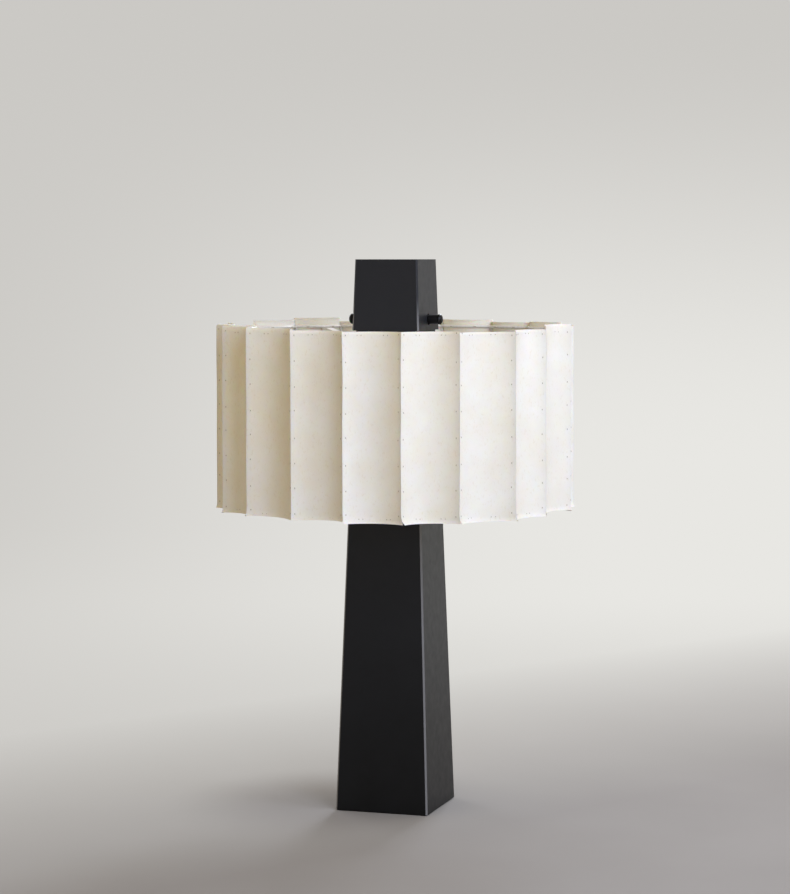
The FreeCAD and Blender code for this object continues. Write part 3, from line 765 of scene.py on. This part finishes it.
def make_knob(side, way):
    """Turned knob: a slim barrel and a wider, domed end."""
    start = KNOB_LOW.x
    neck = KNOB_RADIUS - KNOB_STEP
    dome_start = KNOB_TIP - KNOB_DOME
    profile = [(KNOB_BORE, start), (neck - KNOB_ROUND, start), (neck, start + KNOB_ROUND)]
    profile += [(neck, dome_start - 1.5 * MM), (KNOB_RADIUS - 0.25 * MM, dome_start - 1.1 * MM)]
    for step in range(DOME_STEPS + 1):
        turn = math.pi / 2 * step / DOME_STEPS
        radius = KNOB_RADIUS * math.cos(turn) ** DOME_FULLNESS
        profile.append((radius, dome_start + KNOB_DOME * math.sin(turn)))
    solid = lathe(profile, lambda a, b, along: Vector((way * along, a, KNOB_RISE + b)), sides=48)
    placed(f"turned_knob_{side}", f"knob_{side}", KNOB_STEEL, [solid], f"knob_{side}")


make_knob("right", 1)
make_knob("left", -1)

BULB_REACH = 104 * MM
HOLDER_LOW, HOLDER_TOP = (corner.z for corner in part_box("lampholders"))
BULB_LOW, BULB_TOP = (corner.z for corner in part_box("bulbs"))

# Moulded lampholder: its radius in millimetres, then its ribbed skirt.
HOLDER_RADIUS = 19
SKIRT_TOP = HOLDER_TOP - 23 * MM
SKIRT_LOW = HOLDER_LOW + 4 * MM
SKIRT_RADIUS = (HOLDER_RADIUS - 0.3) * MM
SKIRT_RIBS = 48
RIB_DEPTH = 0.7 * MM
RIB_ENDS = 0.5 * MM
# Screw base of a bulb: its radius in millimetres, then its rolled round thread.
BASE_RADIUS = 12.9
THREAD_TOP = BULB_TOP - 8 * MM
THREAD_LOW = BULB_TOP - 31 * MM
THREAD_PITCH = 3.6 * MM
THREAD_DEPTH = 0.7 * MM
THREAD_ROW = 0.4 * MM
# Glass of a bulb: a waist where it enters the base, then a straight tube with a round end.
WAIST_RADIUS = 12 * MM
WAIST_TALL = 9 * MM
GLASS_TOP = BULB_TOP - 35.6 * MM
GLASS_RADIUS = 15.5 * MM
GLASS_ROUND = 9 * MM
WAIST_STEPS = 8
ROUND_STEPS = 12


def upright_at(across):
    """Places a turned solid on an upright axis to the right or left of the lamp's own."""
    return lambda a, b, along: Vector((across + a, b, along))


def ribbed_skirt(place, sides=144):
    """Upright band whose surface is finely ribbed, for a finger's grip."""
    points = []
    for height in (SKIRT_LOW, SKIRT_LOW + RIB_ENDS, SKIRT_TOP - RIB_ENDS, SKIRT_TOP):
        share = 1.0 if SKIRT_LOW < height < SKIRT_TOP else 0.0
        for side in range(sides):
            turn = math.tau * side / sides
            size = SKIRT_RADIUS - RIB_DEPTH * share * (0.5 - 0.5 * math.cos(SKIRT_RIBS * turn))
            points.append(place(size * math.cos(turn), size * math.sin(turn), height))
    return points, grid_faces(4, sides, wrap_columns=True)


def rolled_thread(place, sides=48):
    """Round thread of the screw base, climbing from its low to its top end."""
    points = []
    rows = int((THREAD_TOP - THREAD_LOW) / THREAD_ROW)
    for row in range(rows + 1):
        height = THREAD_LOW + (THREAD_TOP - THREAD_LOW) * row / rows
        for side in range(sides):
            turn = math.tau * side / sides
            wave = math.cos(math.tau * (height / THREAD_PITCH) - turn)
            size = BASE_RADIUS * MM - THREAD_DEPTH * (0.5 - 0.5 * wave)
            points.append(place(size * math.cos(turn), size * math.sin(turn), height))
    return points, grid_faces(rows + 1, sides, wrap_columns=True)


def holder_solids(place):
    """Moulded shell: sloping shoulder, a joint, a ribbed skirt and a rounded lower lip."""
    shoulder = outline(HOLDER_TOP, (5.5, 0), (11.2, 0), (12, -0.7), (17.9, -7.2))
    shoulder += outline(HOLDER_TOP, (HOLDER_RADIUS, -9), (HOLDER_RADIUS, -21))
    joint = outline(HOLDER_TOP, (18.2, -21.6), (18.2, -22.6), (18.7, -23))
    lip = outline(HOLDER_LOW, (18.7, 4), (HOLDER_RADIUS, 3.4), (HOLDER_RADIUS, 0.8), (18.2, 0))
    socket = outline(HOLDER_LOW, (14.9, 0), (14.2, 0.7), (14.2, 36), (0.5, 36))
    return [lathe(shoulder + joint, place), ribbed_skirt(place), lathe(lip + socket, place)]


def base_solids(place):
    """Screw base pressed from sheet: a collar, a rolled thread, a shoulder and a contact."""
    collar = outline(BULB_TOP, (12.2, -36), (BASE_RADIUS, -35.5), (BASE_RADIUS, -31))
    crown = outline(BULB_TOP, (12.3, -8), (12, -6), (6.5, -2), (4.5, -0.3), (0.3, 0))
    return [lathe(collar, place), rolled_thread(place), lathe(crown, place)]


def glass_solid(place):
    """Tube of glass: a waist where it enters the base, straight sides and a round end."""
    profile = [(WAIST_RADIUS, GLASS_TOP)]
    for step in range(1, WAIST_STEPS + 1):
        share = step / WAIST_STEPS
        ease = share * share * (3 - 2 * share)
        radius = WAIST_RADIUS + (GLASS_RADIUS - WAIST_RADIUS) * ease
        profile.append((radius, GLASS_TOP - WAIST_TALL * share))
    for step in range(ROUND_STEPS + 1):
        turn = math.pi / 2 * step / ROUND_STEPS
        radius = GLASS_RADIUS - GLASS_ROUND * (1 - math.cos(turn))
        profile.append((radius, BULB_LOW + GLASS_ROUND * (1 - math.sin(turn))))
    profile += outline(BULB_LOW, (4, 0), (0.4, 0))
    return lathe(profile, place)


SIDES = [upright_at(way * BULB_REACH) for way in (1, -1)]
placed(
    "moulded_lampholders", "lampholders", PHENOLIC,
    [solid for place in SIDES for solid in holder_solids(place)],
)
placed(
    "opal_glasses", "bulbs", OPAL, [glass_solid(place) for place in SIDES], crisp=80
)
placed(
    "screw_bases", "bulbs", NICKEL,
    [solid for place in SIDES for solid in base_solids(place)],
)


# ---- carried-over nodes ----------------------------------------------------------------------

FINISHES = {
    STEEL: ("column", "cap"),
    WIRE: ("spider_collar", "spoke_1", "spoke_2", "spoke_3", "spoke_4"),
    ARM_STEEL: ("cross_arm", "arm_flange_right", "arm_flange_left"),
    FELT: ("felt_pad",),
    MILL_STEEL: ("base_weight", "foot_bar", "cap_rest_plate"),
    ZINC: (
        "base_bolt", "switch_nut_right", "switch_nut_left", "switch_shaft_right",
        "switch_shaft_left",
    ),
    PHENOLIC: ("cord_bushing", "switch_right", "switch_left"),
}

for finish, names in FINISHES.items():
    for name in names:
        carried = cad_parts[name]
        carried.data.materials.clear()
        carried.data.materials.append(finish)


# ---- studio ----------------------------------------------------------------------------------

# The photograph's camera: angles in degrees, its place in metres, its lens in millimetres.
VIEW_AZIMUTH = 17.72
VIEW_PITCH = 4.173
CAMERA_PLACE = Vector((0.8810, -2.7602, 0.6132))
FOCAL_LENGTH = 105.19
SENSOR_WIDTH = 36


def seen_directly(tree):
    """One for rays from the camera and for those that a gloss or a glass sends on."""
    path = add_node(tree, "ShaderNodeLightPath")
    first = add_node(
        tree, "ShaderNodeMath",
        {0: path.outputs["Is Camera Ray"], 1: path.outputs["Is Glossy Ray"]}, operation="MAXIMUM",
    )
    second = add_node(
        tree, "ShaderNodeMath", {0: first.outputs[0], 1: path.outputs["Is Transmission Ray"]},
        operation="MAXIMUM",
    )
    return second.outputs[0]


# Open air round the lamp: warm, and dimmer than the soft boxes.
AIR_TINT = "#ffe9c6"
AIR_LEVEL = 0.44
# Studio paper where it takes the light, and its cloudiness in millimetres.
FLOOR_DARK = "#9b9894"
FLOOR_LIGHT = "#a09d99"
FLOOR_CLOUD = 300
# Painted light further out: the tone the paper glows with, from the dim side of the backdrop to
# the lit one.
WALL_DIM = "#cbc9c5"
WALL_LIT = "#e8e7e3"
# Where that tone brightens, in metres: to the photograph's right, downwards and to the back.
GLOW_WIDE = (-1.4, 0.5)
GLOW_TALL = (1.25, 0.1)
GLOW_FAR = (-0.2, 1.9)
# Distances from the lamp over which the floor goes from the lit paper to its painted glow.
NEAR_FLOOR = 0.75
FAR_FLOOR = 1.9
# The same towards the back, along a line that slants so that the left side goes over sooner.
FLOOR_START = -0.2
FLOOR_FADE = 0.85
FLOOR_SLANT = 0.85
# Close to the foot, and most of all to its left, the whole shadow stays.
SHADOW_SIDE = 0.05
SHADOW_NEAR = 0.06
SHADOW_FAR = 0.22


def share_between(tree, source, limits, interpolation="SMOOTHSTEP"):
    """Share from nothing to one as the source goes from the first limit to the second."""
    low, high = limits
    share = add_node(
        tree, "ShaderNodeMapRange", {"Value": source}, {"From Min": low, "From Max": high},
        interpolation_type=interpolation,
    )
    return share.outputs["Result"]


def distance_along(tree, spot, direction):
    """How far a place lies along a direction."""
    return add_node(
        tree, "ShaderNodeVectorMath", {0: spot}, {1: direction}, operation="DOT_PRODUCT"
    ).outputs["Value"]


def times(tree, first, second):
    """Product of two shares."""
    product = add_node(tree, "ShaderNodeMath", {0: first, 1: second}, operation="MULTIPLY")
    return product.outputs[0]


def painted_wall_light(tree, spot, right, back):
    """Painted light: a softly graded glow of the studio paper beyond the lamp's own light."""
    height = add_node(tree, "ShaderNodeSeparateXYZ", {"Vector": spot}).outputs["Z"]
    wide = share_between(tree, distance_along(tree, spot, right), GLOW_WIDE)
    tall = share_between(tree, height, GLOW_TALL)
    far = share_between(tree, distance_along(tree, spot, back), GLOW_FAR)
    lit = times(tree, times(tree, wide, tall), far)
    tone = add_node(
        tree, "ShaderNodeValToRGB", {"Fac": lit}, stops=((0.0, WALL_DIM), (1.0, WALL_LIT))
    )
    return tone.outputs["Color"]


def painted_light_share(tree, spot, right, back):
    """How much the paper shows its painted glow, from none near the foot to all of it far out."""
    reach = add_node(tree, "ShaderNodeVectorMath", {0: spot}, operation="LENGTH")
    around = share_between(tree, reach.outputs["Value"], (NEAR_FLOOR, FAR_FLOOR))
    slanted = distance_along(tree, spot, back - FLOOR_SLANT * right)
    behind = share_between(tree, slanted, (FLOOR_START, FLOOR_FADE), "LINEAR")
    open_floor = add_node(tree, "ShaderNodeMath", {0: around, 1: behind}, operation="MAXIMUM")
    from_shadow = add_node(
        tree, "ShaderNodeVectorMath", {0: spot}, {1: -SHADOW_SIDE * right}, operation="DISTANCE"
    )
    clear = share_between(tree, from_shadow.outputs["Value"], (SHADOW_NEAR, SHADOW_FAR))
    return times(tree, open_floor.outputs[0], clear)


def backdrop_paper():
    """Pale studio paper: near the lamp it takes the light and the shadow; further out, and up the
    wall, it glows with an even, softly graded painted light and lights the lamp like open air."""
    made, tree, shader = new_material("studio_paper")
    shader.inputs["Roughness"].default_value = 0.9
    shader.inputs["Specular IOR Level"].default_value = 0.1
    spot = add_node(tree, "ShaderNodeTexCoord").outputs["Object"]
    clouds = add_node(
        tree, "ShaderNodeTexNoise", {"Vector": spot},
        {"Scale": per_metre(FLOOR_CLOUD), "Detail": 3.0},
    )
    tone = add_node(
        tree, "ShaderNodeValToRGB", {"Fac": clouds.outputs["Fac"]},
        stops=((NOISE_LOW, FLOOR_DARK), (NOISE_HIGH, FLOOR_LIGHT)),
    )
    tree.links.new(tone.outputs["Color"], shader.inputs["Base Color"])
    turn = math.radians(VIEW_AZIMUTH)
    right = Vector((math.cos(turn), math.sin(turn), 0))
    back = Vector((-math.sin(turn), math.cos(turn), 0))
    air = add_node(
        tree, "ShaderNodeMix", {0: seen_directly(tree), 7: painted_wall_light(tree, spot, right, back)},
        {6: [AIR_LEVEL * part for part in colour(AIR_TINT)]}, data_type="RGBA",
    )
    glow = add_node(tree, "ShaderNodeEmission", {"Color": air.outputs[2]})
    mix = add_node(
        tree, "ShaderNodeMixShader",
        {0: painted_light_share(tree, spot, right, back), 1: shader.outputs["BSDF"], 2: glow.outputs[0]},
    )
    output = next(node for node in tree.nodes if node.bl_idname == "ShaderNodeOutputMaterial")
    tree.links.new(mix.outputs[0], output.inputs["Surface"])
    return made


# Sweep of studio paper: half its width, the radius of its cove and its height, in metres.
SWEEP_REACH = 4.2
SWEEP_COVE = 1.2
SWEEP_TALL = 4.4
COVE_STEPS = 16


def studio():
    """Round seamless sweep: floor, cove and wall in one turn about the lamp."""
    flat = SWEEP_REACH - SWEEP_COVE
    profile = [(radius, 0.0) for radius in (0.01, 0.6, 1.2, 2.0, flat)]
    for step in range(1, COVE_STEPS + 1):
        turn = math.pi / 2 * step / COVE_STEPS
        rise = SWEEP_COVE * (1 - math.cos(turn))
        profile.append((flat + SWEEP_COVE * math.sin(turn), rise))
    profile.append((SWEEP_REACH, SWEEP_TALL))
    points, faces = lathe(profile, lambda a, b, height: Vector((a, b, height)), sides=96)
    mesh = bpy.data.meshes.new("studio_sweep")
    mesh.from_pydata(points, [], [face[::-1] for face in faces])
    mesh.polygons.foreach_set("use_smooth", [True] * len(mesh.polygons))
    sweep = bpy.data.objects.new("studio_sweep", mesh)
    bpy.context.scene.collection.objects.link(sweep)
    mesh.materials.append(backdrop_paper())


def aim(thing, target):
    """Turns a light or the camera towards a place."""
    way = Vector(target) - thing.location
    thing.rotation_euler = way.to_track_quat("-Z", "Y").to_euler()


def make_camera():
    """Camera at the photograph's place and angle."""
    settings = bpy.data.cameras.new("camera")
    settings.lens = FOCAL_LENGTH
    settings.sensor_width = SENSOR_WIDTH
    settings.dof.use_dof = False
    camera = bpy.data.objects.new("camera", settings)
    bpy.context.scene.collection.objects.link(camera)
    camera.location = CAMERA_PLACE
    azimuth, pitch = math.radians(VIEW_AZIMUTH), math.radians(VIEW_PITCH)
    ahead = Vector(
        (-math.sin(azimuth) * math.cos(pitch), math.cos(azimuth) * math.cos(pitch), -math.sin(pitch))
    )
    aim(camera, camera.location + ahead)
    bpy.context.scene.camera = camera


# Soft boxes stand this far from the middle of what they light.
LIGHT_DISTANCE = 2.4
LIT_PLACE = Vector((0, 0, 0.4))


def soft_box(name, azimuth, elevation, size, power, tint):
    """Soft box that looks at the shade; azimuth is measured from the camera to the right."""
    settings = bpy.data.lights.new(name, "AREA")
    settings.shape = "RECTANGLE"
    settings.size, settings.size_y = size
    settings.energy = power
    settings.color = colour(tint)[:3]
    light = bpy.data.objects.new(name, settings)
    light.visible_camera = False
    bpy.context.scene.collection.objects.link(light)
    turn = math.radians(VIEW_AZIMUTH + azimuth)
    rise = math.radians(elevation)
    way = Vector(
        (math.sin(turn) * math.cos(rise), -math.cos(turn) * math.cos(rise), math.sin(rise))
    )
    light.location = LIT_PLACE + LIGHT_DISTANCE * way
    aim(light, LIT_PLACE)


studio()
make_camera()
# Cool lights from the right and from behind; none lights the shade's left side from the front.
soft_box("key_soft_box", 22, 22, (0.9, 1.6), 27, "#d8e4ff")
soft_box("window_soft_box", 60, 24, (1.3, 1.6), 20, "#d8e4ff")
soft_box("top_soft_box", 122, 56, (1.1, 1.1), 10, "#eef3ff")
soft_box("back_soft_box", 165, 33, (0.5, 1.0), 33, "#e6eeff")
soft_box("rear_fill_soft_box", 215, 25, (0.9, 1.2), 9, "#e6eeff")

world = bpy.data.worlds.new("studio_air")
world.use_nodes = True
world.node_tree.nodes["Background"].inputs["Color"].default_value = colour(AIR_TINT)
world.node_tree.nodes["Background"].inputs["Strength"].default_value = AIR_LEVEL
bpy.context.scene.world = world
bpy.context.scene.view_settings.view_transform = "Standard"
